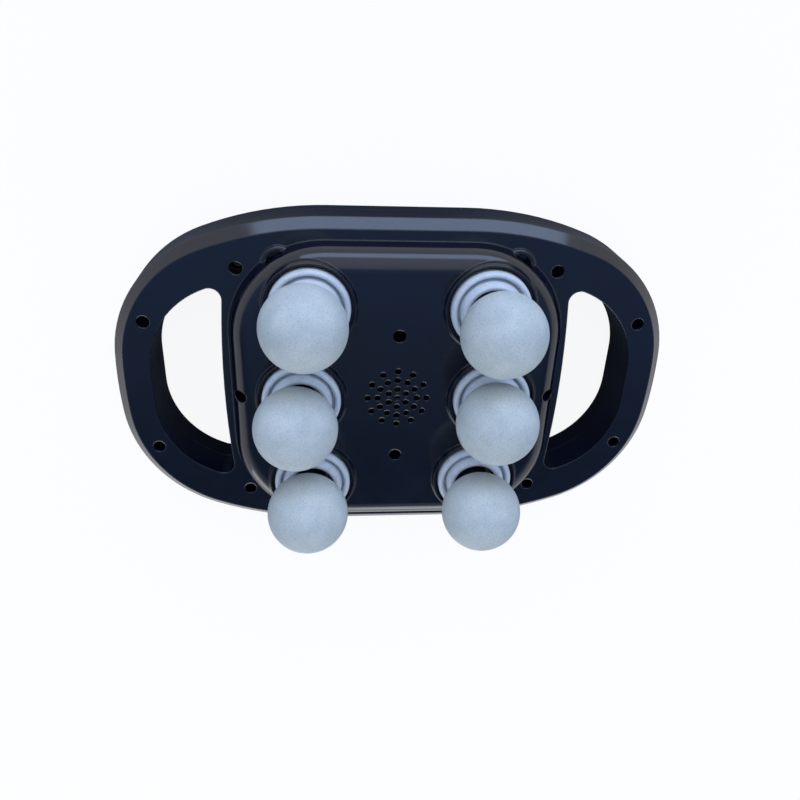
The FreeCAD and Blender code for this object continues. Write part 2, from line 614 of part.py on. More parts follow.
bushes = []
for x, y in bush_places:
    sleeve = cylinder("bush_radius", "bush_length", x, y, "plate_top - bush_length")
    flange = cylinder("bush_radius + bush_flange", "bush_flange", x, y, "plate_top")
    bore_low = "plate_top - bush_length - 1"
    bore = cylinder("spindle_radius + run_clear", "bush_length + bush_flange + 2", x, y, bore_low)
    bushes.append(cut(joined([sleeve, flange]), [bore]))
node(group(bushes, "SpindleBushes"), "spindle_bushes")

pins = []
for x, y in IDLERS.values():
    low = "plate_top - bush_length + 1"
    top = "wheel_top + side_clear"
    body = cylinder("idler_pin", f"{top} - ({low})", x, y, low)
    pins.append(joined([body, cylinder("idler_pin + pin_head", "pin_head_rise", x, y, top)]))
node(group(pins, "IdlerPins"), "idler_pins")

chassis_screws = []
for x, y in mirrored(PLATE_POSTS):
    thread = cylinder("plate_screw", "plate_thick + plate_screw_grip", x, y, "plate")
    head = cylinder("plate_screw_head", "plate_screw_rise", x, y, "plate - plate_screw_rise")
    chassis_screws.append(joined([thread, head]))
for x, y in mirrored(MOTOR_SCREWS):
    thread = cylinder("screw_radius", "plate_thick + motor_cap - 0.5", x, y, "plate - motor_cap + 0.5")
    head = cylinder("plate_screw_head", "plate_screw_rise", x, y, "plate_top")
    chassis_screws.append(joined([thread, head]))
node(group(chassis_screws, "ChassisScrews"), "chassis_screws")

# Motor
can_low = "plate - motor_length"
can = joined([cylinder("motor_radius", "motor_length", z=can_low), cylinder("motor_spigot", 2, z="plate")])
can_holes = [
    cylinder("motor_radius - motor_wall", "motor_length - 2 * motor_cap", z="plate - motor_length + motor_cap"),
    cylinder("shaft_radius + run_clear", "motor_length + 2", z="plate - motor_length + 1"),
]
can_holes += [
    cylinder("screw_radius + run_clear", "motor_cap + 2", x, y, "plate - motor_cap - 1")
    for x, y in mirrored(MOTOR_SCREWS)
]
node(cut(can, can_holes, "MotorCan"), "motor_can")
rotor_low = "plate - motor_length + motor_cap + rotor_gap"
rotor_length = "motor_length - 2 * motor_cap - 2 * rotor_gap"
rotor = cylinder("motor_radius - motor_wall - rotor_gap", rotor_length, z=rotor_low)
node(cut(rotor, [cylinder("shaft_radius", "motor_length", z=f"{rotor_low} - 1")], "MotorRotor"), "motor_rotor")
shaft_low = "plate - motor_length + 1.5"
node(cylinder("shaft_radius", f"roof - fan_clear - ({shaft_low})", z=shaft_low), "motor_shaft")
fan_low = "roof - fan_clear - fan_width"
blades = []
FAN_BLADES = 9
for step in range(FAN_BLADES):
    blade = doc.addObject("Part::Box", "Blade")
    blade.Placement.Rotation = FreeCAD.Rotation(UP, 360 / FAN_BLADES * step)
    sizes = {"Length": "fan_radius", "Width": "fan_blade", "Height": "fan_width - 1"}
    blades.append(bind(blade, sizes, z=fan_low))
fan = joined(blades + [cylinder("shaft_radius + fan_hub", "fan_width", z=fan_low)])
fan = cut(fan, [cylinder("shaft_radius", "fan_width + 2", z=f"{fan_low} - 1")], "CoolingFan")
node(fan, "cooling_fan")


# Gear train
def gear(teeth, bore, turn, x, y, label):
    """Involute spur wheel with one tooth pointing in the direction of turn."""
    pitch = S["gear_module"] * teeth / 2
    pressure = math.radians(20)
    base = pitch * math.cos(pressure)
    tip = pitch + S["gear_module"]
    root = pitch - 1.25 * S["gear_module"]
    half = math.pi / (2 * teeth) - S["backlash"] / (4 * pitch)

    def involute(radius):
        slope = math.acos(min(1, base / radius))
        return math.tan(slope) - slope

    def at(radius, angle):
        return Vector(radius * math.cos(angle), radius * math.sin(angle), 0)

    def flank(middle, side):
        start = max(base, root)
        radii = [start + (tip - start) * (step / 5) ** 1.5 for step in range(6)]
        angle = half + involute(pitch)
        return [at(r, middle + side * (angle - involute(r))) for r in radii]

    edges = []
    for tooth in range(int(teeth)):
        middle = 2 * math.pi * tooth / teeth
        rising, falling = flank(middle, -1), flank(middle, 1)
        foot = math.atan2(rising[0].y, rising[0].x)
        heel = math.atan2(falling[0].y, falling[0].x)
        following = middle + 2 * math.pi / teeth - (heel - middle)
        for curve in (rising, falling):
            spline = Part.BSplineCurve()
            spline.interpolate(curve)
            edges.append(spline.toShape())
        edges.append(Part.Arc(rising[-1], at(tip, middle), falling[-1]).toShape())
        edges.append(Part.makeLine(at(root, foot), rising[0]))
        edges.append(Part.makeLine(falling[0], at(root, heel)))
        gap = middle + math.pi / teeth
        edges.append(Part.Arc(at(root, heel), at(root, gap), at(root, following)).toShape())
    rim_wire = Part.Wire(Part.__sortEdges__(edges))
    solid = Part.Face(rim_wire).extrude(UP * S["gear_width"]).cut(pillar(bore, -1, S["gear_width"] + 1))
    obj = feature(solid, label)
    obj.Placement = FreeCAD.Placement(Vector(x, y, wheel), FreeCAD.Rotation(UP, turn))
    return obj


def meshing(teeth, turn, next_teeth, heading):
    """Turn of the next wheel whose gap faces a tooth of this one along the heading."""
    phase = teeth * (heading - turn) / 360
    return heading + 180 - 360 / next_teeth * (0.5 - phase)


wheel_teeth, relay_teeth, pinion_teeth = S["wheel_teeth"], S["relay_teeth"], S["pinion_teeth"]
node(gear(pinion_teeth, S["shaft_radius"], 0, 0, 0, "DrivePinion"), "drive_pinion")
idler_bore = S["idler_pin"] + S["run_clear"]
for side, word in ((-1, "left"), (1, "right")):
    outward = 0 if side > 0 else 180
    relay = meshing(pinion_teeth, 0, relay_teeth, outward)
    middle = meshing(relay_teeth, relay, wheel_teeth, outward)
    turns = {f"middle_{word}": middle}
    for idler, end in (("upper", "top"), ("lower", "bottom")):
        reach = direction(head_place(f"middle_{word}"), head_place(f"{end}_{word}"))
        turns[idler] = meshing(wheel_teeth, middle, wheel_teeth, reach)
        turns[f"{end}_{word}"] = meshing(wheel_teeth, turns[idler], wheel_teeth, reach)
        name = f"{idler}_{word}"
        node(gear(wheel_teeth, idler_bore, turns[idler], *IDLERS[name], "Idler"), f"idler_{name}")
    name = f"relay_{word}"
    node(gear(relay_teeth, idler_bore, relay, *IDLERS[name], "Idler"), f"idler_{name}")
    for name in (f"top_{word}", f"middle_{word}", f"bottom_{word}"):
        crank_gear = gear(wheel_teeth, S["spindle_radius"], turns[name], *head_place(name), "CrankGear")
        node(crank_gear, f"crank_gear_{name}")


# Cranks and heads
def ridge(inner, outer, foot, top, x, y):
    """Round-topped ring between two radii."""
    middle = (inner + outer) / 2
    crown = (outer - inner) / 2
    level = top - crown
    edges = [
        Part.makeLine(Vector(inner, 0, level), Vector(inner, 0, foot)),
        Part.makeLine(Vector(inner, 0, foot), Vector(outer, 0, foot)),
        Part.makeLine(Vector(outer, 0, foot), Vector(outer, 0, level)),
        Part.Arc(Vector(outer, 0, level), Vector(middle, 0, top), Vector(inner, 0, level)).toShape(),
    ]
    solid = Part.Face(Part.Wire(edges)).revolve(Vector(), UP, 360)
    solid.translate(Vector(x, y, 0))
    return solid


def boot(name):
    """Bellows in a hole of the platform: bead, outer fold, web, and an inner fold that clears the circling stem."""
    x, y = head_place(name)
    outside = S["socket_radius"] - S["boot_fit"]
    inside = S["stem_radius"] + S["crank_throw"] + S["boot_clear"]
    foot = roof - 2
    web_low = deck + S["boot_web"]
    web_top = web_low + S["boot_web"]
    bead = pillar(outside + S["boot_bead"], foot, roof, x, y)
    wall = pillar(outside, foot, web_top, x, y)
    hollow = pillar(outside - S["boot_wall"], foot - 1, web_low, x, y)
    outer_fold = ridge(outside - S["boot_fold"], outside, web_low, deck + S["boot_fold_rise"], x, y)
    inner_fold = ridge(inside, inside + S["boot_inner_fold"], web_low, deck + S["boot_inner_rise"], x, y)
    solid = wall.fuse(bead).cut(hollow).fuse([outer_fold, inner_fold])
    return solid.cut(pillar(inside, foot - 1, S["ball"], x, y)).removeSplitter()


for name in HEADS:
    x, y = head_place(name)
    px, py = pin_place(name)
    spindle_low = "plate_top - bush_length - 3"
    groove_low = "plate_top - bush_length - clip_groove - 2 * clip_play"
    spindle = cylinder("spindle_radius", f"wheel_top - ({spindle_low})", x, y, spindle_low)
    web = cylinder("web_radius", "web_thick", x, y, "wheel_top")
    pin = cylinder("crank_pin", "pin_end - web_top", px, py, "web_top")
    groove_floor = cylinder("spindle_radius - clip_depth", "clip_groove", x, y, groove_low)
    groove = cut(cylinder("spindle_radius + 1", "clip_groove", x, y, groove_low), [groove_floor])
    thread_hole = cylinder("keeper_screw + run_clear", "keeper_grip + 2", px, py, "pin_end - keeper_grip - 1")
    crank = cut(joined([spindle, web, pin]), [groove, thread_hole])
    clip_low = f"{groove_low} + clip_play"
    clip_ring = cylinder("spindle_radius + clip_width", "clip_groove - 2 * clip_play", x, y, clip_low)
    clip_bore = cylinder("spindle_radius - clip_depth", "2 * clip_groove", x, y, f"{clip_low} - clip_groove / 2")
    clip = cut(clip_ring, [clip_bore])
    keeper = joined([
        cylinder("keeper_screw", "keeper_grip", px, py, "pin_end - keeper_grip"),
        cylinder("crank_pin + keeper_washer", "washer_thick", px, py, "pin_end"),
        cylinder("keeper_head", "keeper_rise", px, py, "pin_end"),
    ])
    node(group([crank, clip, keeper], "CrankShaft"), f"crank_shaft_{name}")

    stem_low = "web_top + side_clear"
    stem = cylinder("stem_radius", f"stem_end - ({stem_low})", px, py, stem_low)
    stem_bore = cylinder("crank_pin + run_clear", "stem_end - web_top", px, py, "web_top")
    mouth = cylinder("crank_pin + keeper_washer + side_clear", "keeper_room + 1", px, py, "pin_end - 0.2")
    node(cut(stem, [stem_bore, mouth], "HeadStem"), f"head_stem_{name}")

    skin = sphere("ball_radius", px, py, "ball")
    bore_low = "stem_end + 0.4 - ball_radius"
    bore = cylinder("stem_radius", "ball_radius", px, py, bore_low)
    core = cylinder("stem_radius + ball_wall / 2", "ball_radius + ball_wall / 2", px, py, bore_low)
    hollow = cut(sphere("ball_radius - ball_wall", px, py, "ball"), [core])
    node(cut(skin, [bore, hollow], "HeadBall"), f"head_ball_{name}")
    node(feature(boot(name), "HeadBoot"), f"head_boot_{name}")

# Battery and electronics
cell_level = "hump_wall + cell_clear + cell_radius"
cells = []
for side in (-1, 1):
    start = f"{side} * (cell_length + 2 * cell_clear) / 2 - cell_length / 2"
    cells.append(lying_cylinder("cell_radius", "cell_length", start, "-cell_row", cell_level))
node(group(cells, "BatteryCells"), "battery_cells")
tray_width = "2 * cell_radius + 2 * tray_wall"
end_place = "tray_half - tray_end / 2"
tray = box("2 * tray_half", tray_width, "tray_depth", 0, "-cell_row", "hump_wall")
trough_end = "cell_length + 10"
trough = lying_cylinder("cell_radius", f"2 * ({trough_end})", f"-({trough_end})", "-cell_row", cell_level)
end_walls = [
    box("tray_end", tray_width, "tray_end_rise", f"{side} * ({end_place})", "-cell_row", "hump_wall")
    for side in (-1, 1)
]
divider = box("2 * cell_clear", "2 * cell_radius", "tray_depth", 0, "-cell_row", "hump_wall")
node(joined([cut(tray, [trough]), divider] + end_walls, "BatteryTray"), "battery_tray")

board_long, board_wide = "panel_width - board_margin", "panel_height - 2 * board_margin"
node(box(board_long, board_wide, "board_thick", 0, "panel_row", "board_level"), "control_board")
switch_side = 6
stalk_end = "hump_wall + key_gap + key_flange + key_stalk"
switch_low = f"{stalk_end} + key_travel + 0.3"
switches = [
    box(switch_side, switch_side, f"board_level - ({switch_low})", x, "panel_row", switch_low)
    for x in KEYS.values()
]
node(group(switches, "KeySwitches"), "key_switches")
board_top = "board_level + board_thick"
chips = [box(12, 12, 1.6, 0, "panel_row", board_top)]
for side in (-1, 1):
    chips += [box(8, 5, 5, side * x, "panel_row + 8", board_top) for x in (24, 38)]
    chips += [cylinder(4, 8, side * 20, "panel_row - 7", board_top)]
node(group(chips, "BoardChips"), "board_chips")

panel_low = S["panel_sunk"] - S["panel_thick"]
window_floor = S["panel_sunk"] - S["panel_thick"] / 3
window = rounded_wire(S["window_width"], S["window_height"], S["window_corner"])
panel_cuts = [slab(window, panel_low - 1, window_floor)]
panel_cuts += [pillar(S["key_radius"] + S["key_gap"], -1, S["panel_sunk"] + 1, x) for x in KEYS.values()]
panel = slab(panel_outline(S["panel_fit"]), panel_low, S["panel_sunk"]).cut(panel_cuts)
panel.translate(Vector(0, S["panel_row"], 0))
node(feature(panel, "KeyPanel"), "key_panel")
glass_width, glass_height = (S[side] - 2 * S["window_fit"] for side in ("window_width", "window_height"))
glass_wire = rounded_wire(glass_width, glass_height, S["window_corner"] - S["window_fit"])
glass = slab(glass_wire, panel_low, window_floor)
glass.translate(Vector(0, S["panel_row"], 0))
node(feature(glass, "DisplayWindow"), "display_window")

for name, x in KEYS.items():
    flange_low = "hump_wall + key_gap"
    cap = cylinder("key_radius", f"{flange_low} - key_sunk", x, "panel_row", "key_sunk")
    flange = cylinder("key_radius + key_flange", "key_flange", x, "panel_row", flange_low)
    stalk = cylinder("key_radius / 3", "key_stalk", x, "panel_row", f"{flange_low} + key_flange")
    node(joined([cap, flange, stalk], "Key"), name)

port_wall = 0.5
port_low = "parting - port_level + port_fit"
port_y = "port_depth / 2 + port_fit - half_height"
slot_low = f"{port_low} + {port_wall}"
slot_high = f"port_height - 2 * {port_wall}"
port_body = box("port_width", "port_depth", "port_height", "port_place", port_y, port_low)
slot_wide = f"port_width - 2 * {port_wall}"
port_slot = box(slot_wide, "port_depth", slot_high, "port_place", f"{port_y} - 1", slot_low)
tongue_thick = 0.7
tongue_low = f"{port_low} + (port_height - {tongue_thick}) / 2"
tongue_y = f"{port_y} + port_depth * 0.1"
port_tongue = box("port_width * 0.7", "port_depth * 0.7", tongue_thick, "port_place", tongue_y, tongue_low)
node(joined([cut(port_body, [port_slot]), port_tongue], "ChargeSocket"), "charge_socket")

doc.recompute()
os.makedirs("parts", exist_ok=True)
for obj in doc.Objects:
    if "Invalid" in obj.State or "Error" in obj.State:
        raise RuntimeError(f"{obj.Label} did not rebuild: {obj.State}")
for obj in NODES:
    if obj.Shape.isNull() or not obj.Shape.isValid():
        raise RuntimeError(f"{obj.Label} has no valid shape")
    obj.Shape.exportStep(f"parts/{obj.Label}.step")
print(len(NODES), "nodes")
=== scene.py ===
"""A two-handed massager with six orbiting heads: surfaces, finishes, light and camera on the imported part.

The massager lies on its back with the heads up. X runs across the hand grips, Y towards the key panel
and Z along the head axes. Lengths are metres, and values named with _MM are millimetres.
"""

import bpy
import numpy as np
from mathutils import Matrix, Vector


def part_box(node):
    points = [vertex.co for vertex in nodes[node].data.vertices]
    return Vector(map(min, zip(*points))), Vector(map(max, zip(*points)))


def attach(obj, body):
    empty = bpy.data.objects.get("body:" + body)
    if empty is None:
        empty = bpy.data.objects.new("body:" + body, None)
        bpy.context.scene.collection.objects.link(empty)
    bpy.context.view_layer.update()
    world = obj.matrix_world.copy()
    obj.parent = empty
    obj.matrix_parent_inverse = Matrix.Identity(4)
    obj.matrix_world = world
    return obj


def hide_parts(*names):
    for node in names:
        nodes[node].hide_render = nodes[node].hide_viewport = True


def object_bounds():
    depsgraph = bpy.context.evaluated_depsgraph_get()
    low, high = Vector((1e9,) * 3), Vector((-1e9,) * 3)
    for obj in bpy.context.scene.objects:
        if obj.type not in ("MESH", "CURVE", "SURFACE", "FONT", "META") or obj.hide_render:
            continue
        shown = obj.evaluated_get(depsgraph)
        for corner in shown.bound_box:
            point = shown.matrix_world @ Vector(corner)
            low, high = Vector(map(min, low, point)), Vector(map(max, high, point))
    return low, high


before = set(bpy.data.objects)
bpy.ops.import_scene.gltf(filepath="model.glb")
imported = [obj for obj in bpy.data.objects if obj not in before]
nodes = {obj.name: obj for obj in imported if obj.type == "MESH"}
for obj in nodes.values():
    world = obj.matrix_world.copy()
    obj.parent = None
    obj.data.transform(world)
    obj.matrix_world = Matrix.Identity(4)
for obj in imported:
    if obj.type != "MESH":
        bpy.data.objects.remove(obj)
cad_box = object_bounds()

MM = 0.001
HEADS = [f"{row}_{side}" for row in ("top", "middle", "bottom") for side in ("left", "right")]
DECK_MM = 59.5
AROUND = 160


# Finishes


def linear(hex_colour):
    """Linear RGBA of an sRGB hex colour: the low part is divided by 12.92, the rest follows the 2.4 power."""
    srgb = np.array([int(hex_colour[i : i + 2], 16) for i in (1, 3, 5)]) / 255
    rgb = np.where(srgb <= 0.04045, srgb / 12.92, ((srgb + 0.055) / 1.055) ** 2.4)
    return (*rgb.tolist(), 1.0)


def per_mm(size_mm):
    """Texture scale at which one feature is about size_mm across on Object coordinates in metres."""
    return 1 / (size_mm * MM)


def add(tree, kind, values=None, links=None, stops=None, **settings):
    """Adds a node with its settings, socket values, links and ramp stops. A linked node gives its first output."""
    node = tree.nodes.new(kind)
    for name, value in settings.items():
        setattr(node, name, value)
    for name, value in (values or {}).items():
        node.inputs[name].default_value = value
    for name, source in (links or {}).items():
        tree.links.new(source.outputs[0] if isinstance(source, bpy.types.Node) else source, node.inputs[name])
    if stops:
        band = node.color_ramp.elements
        band[1].position, band[0].position = stops[-1][0], stops[0][0]
        for position, _ in stops[1:-1]:
            band.new(position)
        for element, (position, colour) in zip(band, stops):
            element.color = linear(colour) if isinstance(colour, str) else (colour, colour, colour, 1)
    return node


def blank(name):
    """New material without nodes but for its Object coordinates, in metres."""
    material = bpy.data.materials.new(name)
    material.use_nodes = True
    tree = material.node_tree
    tree.nodes.clear()
    return material, tree, add(tree, "ShaderNodeTexCoord").outputs["Object"]


def gloss_abs(name, dark, light, rough_low, rough_high, edge_mm=0.8):
    """Polished ABS, injection moulded: a deep even colour, faint flow clouds, handling haze that breaks up
    the reflections, a slight waviness of the skin like orange peel, and edges that catch the light as if
    the tool had rounded them by edge_mm."""
    material, tree, place = blank(name)
    clouds = add(tree, "ShaderNodeTexNoise", {"Scale": per_mm(45), "Detail": 2.0}, {"Vector": place})
    colour = add(tree, "ShaderNodeValToRGB", links={"Fac": clouds}, stops=[(0.35, dark), (0.68, light)])
    haze = {"Scale": per_mm(18), "Detail": 6.0, "Roughness": 0.62}
    haze = add(tree, "ShaderNodeTexNoise", haze, {"Vector": place})
    dull = add(tree, "ShaderNodeValToRGB", links={"Fac": haze}, stops=[(0.38, rough_low), (0.72, rough_high)])
    peel = add(tree, "ShaderNodeTexNoise", {"Scale": per_mm(6), "Detail": 1.0}, {"Vector": place})
    edge = add(tree, "ShaderNodeBevel", {"Radius": edge_mm * MM}, samples=6)
    skin = add(tree, "ShaderNodeBump", {"Strength": 1.0, "Distance": 0.008 * MM}, {"Height": peel, "Normal": edge})
    links = {"Base Color": colour, "Roughness": dull, "Normal": skin}
    shader = add(tree, "ShaderNodeBsdfPrincipled", {"IOR": 1.53}, links)
    add(tree, "ShaderNodeOutputMaterial", links={"Surface": shader})
    return material


def speckled_silicone():
    """Filled silicone, compression moulded and left dull: pale grey with fine darker and lighter grit and a
    skin of shallow pores. Light goes some 6 mm into it, so the shading is soft. The grit is drawn at 0.8 mm,
    coarser than the real one, so that it shows."""
    material, tree, place = blank("speckled_silicone")
    grit = {"Scale": per_mm(0.8), "Detail": 2.0, "Roughness": 0.7}
    grit = add(tree, "ShaderNodeTexNoise", grit, {"Vector": place})
    drift = add(tree, "ShaderNodeTexNoise", {"Scale": per_mm(14), "Detail": 2.0}, {"Vector": place})
    grains = [(0.3, "#c2c5c3"), (0.42, "#d5d8d5"), (0.6, "#dbdedb"), (0.74, "#e9ebe8")]
    grains = add(tree, "ShaderNodeValToRGB", links={"Fac": grit}, stops=grains)
    tone = add(tree, "ShaderNodeValToRGB", links={"Fac": drift}, stops=[(0.3, "#ebeef0"), (0.7, "#ffffff")])
    links = {"A": grains.outputs["Color"], "B": tone.outputs["Color"]}
    colour = add(tree, "ShaderNodeMix", links=links, data_type="RGBA", blend_type="MULTIPLY")
    colour.inputs["Factor"].default_value = 1.0
    dull = add(tree, "ShaderNodeValToRGB", links={"Fac": grit}, stops=[(0.3, 0.86), (0.7, 0.7)])
    pores = add(tree, "ShaderNodeBump", {"Strength": 1.0, "Distance": 0.09 * MM}, {"Height": grit})
    depth = {"Subsurface Weight": 0.4, "Subsurface Radius": (1.0, 1.0, 1.0), "Subsurface Scale": 6 * MM}
    links = {"Base Color": colour.outputs["Result"], "Roughness": dull, "Normal": pores}
    shader = add(tree, "ShaderNodeBsdfPrincipled", {"IOR": 1.42, **depth}, links)
    add(tree, "ShaderNodeOutputMaterial", links={"Surface": shader})
    return material


def pale_silicone():
    """Tinted silicone rubber, moulded in a polished tool: smooth, pale blue white, a soft gloss, and a little
    dust held in the skin, which dulls it in patches."""
    material, tree, place = blank("pale_silicone")
    dust = {"Scale": per_mm(3.5), "Detail": 5.0, "Roughness": 0.65}
    dust = add(tree, "ShaderNodeTexNoise", dust, {"Vector": place})
    tints = [(0.25, "#c3cad4"), (0.5, "#d5dbe3"), (0.8, "#dee3e9")]
    colour = add(tree, "ShaderNodeValToRGB", links={"Fac": dust}, stops=tints)
    dull = add(tree, "ShaderNodeValToRGB", links={"Fac": dust}, stops=[(0.3, 0.5), (0.75, 0.36)])
    skin = add(tree, "ShaderNodeTexNoise", {"Scale": per_mm(1.6), "Detail": 2.0}, {"Vector": place})
    skin = add(tree, "ShaderNodeBump", {"Strength": 1.0, "Distance": 0.01 * MM}, {"Height": skin})
    links = {"Base Color": colour, "Roughness": dull, "Normal": skin}
    shader = add(tree, "ShaderNodeBsdfPrincipled", {"IOR": 1.41}, links)
    add(tree, "ShaderNodeOutputMaterial", links={"Surface": shader})
    return material


def moulded(name, dark, light, roughness, grain_mm=0.9, depth_mm=0.03):
    """Moulded engineering plastic with a spark-eroded grain: dull, even, with a fine pitted skin."""
    material, tree, place = blank(name)
    grain = add(tree, "ShaderNodeTexNoise", {"Scale": per_mm(grain_mm), "Detail": 3.0}, {"Vector": place})
    clouds = add(tree, "ShaderNodeTexNoise", {"Scale": per_mm(20), "Detail": 2.0}, {"Vector": place})
    colour = add(tree, "ShaderNodeValToRGB", links={"Fac": clouds}, stops=[(0.35, dark), (0.68, light)])
    levels = [(0.3, roughness - 0.08), (0.7, roughness + 0.1)]
    dull = add(tree, "ShaderNodeValToRGB", links={"Fac": grain}, stops=levels)
    skin = add(tree, "ShaderNodeBump", {"Strength": 1.0, "Distance": depth_mm * MM}, {"Height": grain})
    links = {"Base Color": colour, "Roughness": dull, "Normal": skin}
    shader = add(tree, "ShaderNodeBsdfPrincipled", {"IOR": 1.49}, links)
    add(tree, "ShaderNodeOutputMaterial", links={"Surface": shader})
    return material


def drawn_metal(name, dark, light, rough_low, rough_high, stretch=(1, 1, 14), streak_mm=5.0):
    """Drawn, turned or plated metal: streaks along one axis, or grains, in colour, roughness and height."""
    material, tree, place = blank(name)
    along = add(tree, "ShaderNodeMapping", {"Scale": stretch}, {"Vector": place})
    streak = add(tree, "ShaderNodeTexNoise", {"Scale": per_mm(streak_mm), "Detail": 4.0}, {"Vector": along})
    colour = add(tree, "ShaderNodeValToRGB", links={"Fac": streak}, stops=[(0.3, dark), (0.7, light)])
    dull = add(tree, "ShaderNodeValToRGB", links={"Fac": streak}, stops=[(0.3, rough_low), (0.7, rough_high)])
    skin = add(tree, "ShaderNodeBump", {"Strength": 1.0, "Distance": 0.008 * MM}, {"Height": streak})
    links = {"Base Color": colour, "Roughness": dull, "Normal": skin}
    shader = add(tree, "ShaderNodeBsdfPrincipled", {"Metallic": 1.0}, links)
    add(tree, "ShaderNodeOutputMaterial", links={"Surface": shader})
    return material


def shrink_sleeve():
    """PVC shrink sleeve on a round cell: blue, soft gloss, with fine wrinkles 4 mm apart round the cell."""
    material, tree, place = blank("shrink_sleeve")
    along = add(tree, "ShaderNodeMapping", {"Scale": (6, 1, 1)}, {"Vector": place})
    wrinkle = add(tree, "ShaderNodeTexNoise", {"Scale": per_mm(4), "Detail": 3.0}, {"Vector": along})
    colour = add(tree, "ShaderNodeValToRGB", links={"Fac": wrinkle}, stops=[(0.35, "#1d5a86"), (0.7, "#2a70a0")])
    dull = add(tree, "ShaderNodeValToRGB", links={"Fac": wrinkle}, stops=[(0.3, 0.3), (0.7, 0.42)])
    skin = add(tree, "ShaderNodeBump", {"Strength": 1.0, "Distance": 0.05 * MM}, {"Height": wrinkle})
    links = {"Base Color": colour, "Roughness": dull, "Normal": skin}
    shader = add(tree, "ShaderNodeBsdfPrincipled", {"IOR": 1.53}, links)
    add(tree, "ShaderNodeOutputMaterial", links={"Surface": shader})
    return material


def solder_mask():
    """Printed board: green solder mask over copper, whose tracks show as paler lines 2 mm apart."""
    material, tree, place = blank("solder_mask")
    values = {"Scale": per_mm(2) / 6.283, "Distortion": 6.0, "Detail": 1.0, "Detail Scale": 0.6}
    tracks = add(tree, "ShaderNodeTexWave", values, {"Vector": place}, bands_direction="DIAGONAL").outputs["Fac"]
    colour = add(tree, "ShaderNodeValToRGB", links={"Fac": tracks}, stops=[(0.55, "#0f4a26"), (0.66, "#1f7440")])
    dull = add(tree, "ShaderNodeValToRGB", links={"Fac": tracks}, stops=[(0.5, 0.42), (0.7, 0.3)])
    skin = add(tree, "ShaderNodeBump", {"Strength": 1.0, "Distance": 0.03 * MM}, {"Height": tracks})
    links = {"Base Color": colour, "Roughness": dull, "Normal": skin}
    shader = add(tree, "ShaderNodeBsdfPrincipled", {"IOR": 1.5}, links)
    add(tree, "ShaderNodeOutputMaterial", links={"Surface": shader})
    return material


def smoked_acrylic():
    """Smoked acrylic window over a dark display: almost black, very smooth, with fine wipe marks."""
    material, tree, place = blank("smoked_acrylic")
    along = add(tree, "ShaderNodeMapping", {"Scale": (0.3, 2, 1)}, {"Vector": place})
    wipe = add(tree, "ShaderNodeTexNoise", {"Scale": per_mm(9), "Detail": 6.0}, {"Vector": along})
    colour = add(tree, "ShaderNodeValToRGB", links={"Fac": wipe}, stops=[(0.3, "#07090c"), (0.75, "#0d1116")])
    dull = add(tree, "ShaderNodeValToRGB", links={"Fac": wipe}, stops=[(0.35, 0.05), (0.75, 0.16)])
    links = {"Base Color": colour, "Roughness": dull}
    shader = add(tree, "ShaderNodeBsdfPrincipled", {"IOR": 1.49}, links)
    add(tree, "ShaderNodeOutputMaterial", links={"Surface": shader})
    return material


def printed_ink(name, dark, light, glow=0.0):
    """Pad-printed ink: flat colour, with the slight mottling of the pad. A lit segment glows as well."""
    material, tree, place = blank(name)
    mottle = add(tree, "ShaderNodeTexNoise", {"Scale": per_mm(0.5), "Detail": 3.0}, {"Vector": place})
    colour = add(tree, "ShaderNodeValToRGB", links={"Fac": mottle}, stops=[(0.3, dark), (0.7, light)])
    dull = add(tree, "ShaderNodeValToRGB", links={"Fac": mottle}, stops=[(0.3, 0.45), (0.7, 0.6)])
    values = {"IOR": 1.48, "Emission Color": linear(light), "Emission Strength": glow}
    shader = add(tree, "ShaderNodeBsdfPrincipled", values, {"Base Color": colour, "Roughness": dull})
    add(tree, "ShaderNodeOutputMaterial", links={"Surface": shader})
    return material


NAVY_FRONT = gloss_abs("navy_gloss_abs_front", "#050b1b", "#080f24", 0.1, 0.18, edge_mm=1.2)
NAVY_REAR = gloss_abs("navy_gloss_abs_rear", "#050b1b", "#091025", 0.12, 0.2)
BALL = speckled_silicone()
BOOT = pale_silicone()
BLACK_ZINC = drawn_metal("black_zinc_steel", "#2c2e32", "#4a4d52", 0.32, 0.48, stretch=(1, 1, 1), streak_mm=1.2)
GROUND_STEEL = drawn_metal("ground_steel", "#9b9da1", "#c3c5c8", 0.2, 0.34)
ZINC_STEEL = drawn_metal("zinc_plated_steel", "#8f949a", "#b4b9be", 0.3, 0.45, stretch=(1, 1, 3))
BRONZE = drawn_metal("sintered_bronze", "#8c6a3c", "#b08a54", 0.4, 0.58, stretch=(1, 1, 1), streak_mm=0.7)
NICKEL = drawn_metal("stamped_nickel_steel", "#a3a39d", "#cbcac4", 0.22, 0.36, stretch=(1, 8, 1))
BLACK_NYLON = moulded("glass_filled_black_nylon", "#17181b", "#222428", 0.55)
DARK_ACETAL = moulded("dark_acetal", "#151a22", "#1d2430", 0.42, grain_mm=0.6, depth_mm=0.015)
GEAR_ACETAL = moulded("natural_acetal", "#d6d2c6", "#e6e2d8", 0.4, grain_mm=0.7, depth_mm=0.015)
CHIP_EPOXY = moulded("moulded_epoxy", "#131416", "#1e1f22", 0.6, grain_mm=0.4)
PANEL_GLOSS = gloss_abs("black_gloss_panel", "#06070a", "#0a0c10", 0.06, 0.14)
KEY_SATIN = moulded("satin_key_plastic", "#1b2026", "#242a31", 0.4, grain_mm=0.5, depth_mm=0.012)
SLEEVE = shrink_sleeve()
MASK = solder_mask()
WINDOW = smoked_acrylic()
SIGN_INK = printed_ink("pale_sign_ink", "#b9c4ce", "#d5dde4")
LIT_SEGMENT = printed_ink("lit_display_segment", "#8fd3e8", "#b8ecf8", glow=0.6)
UNLIT_SEGMENT = printed_ink("unlit_display_segment", "#141a1f", "#1b2329")


# Surfaces


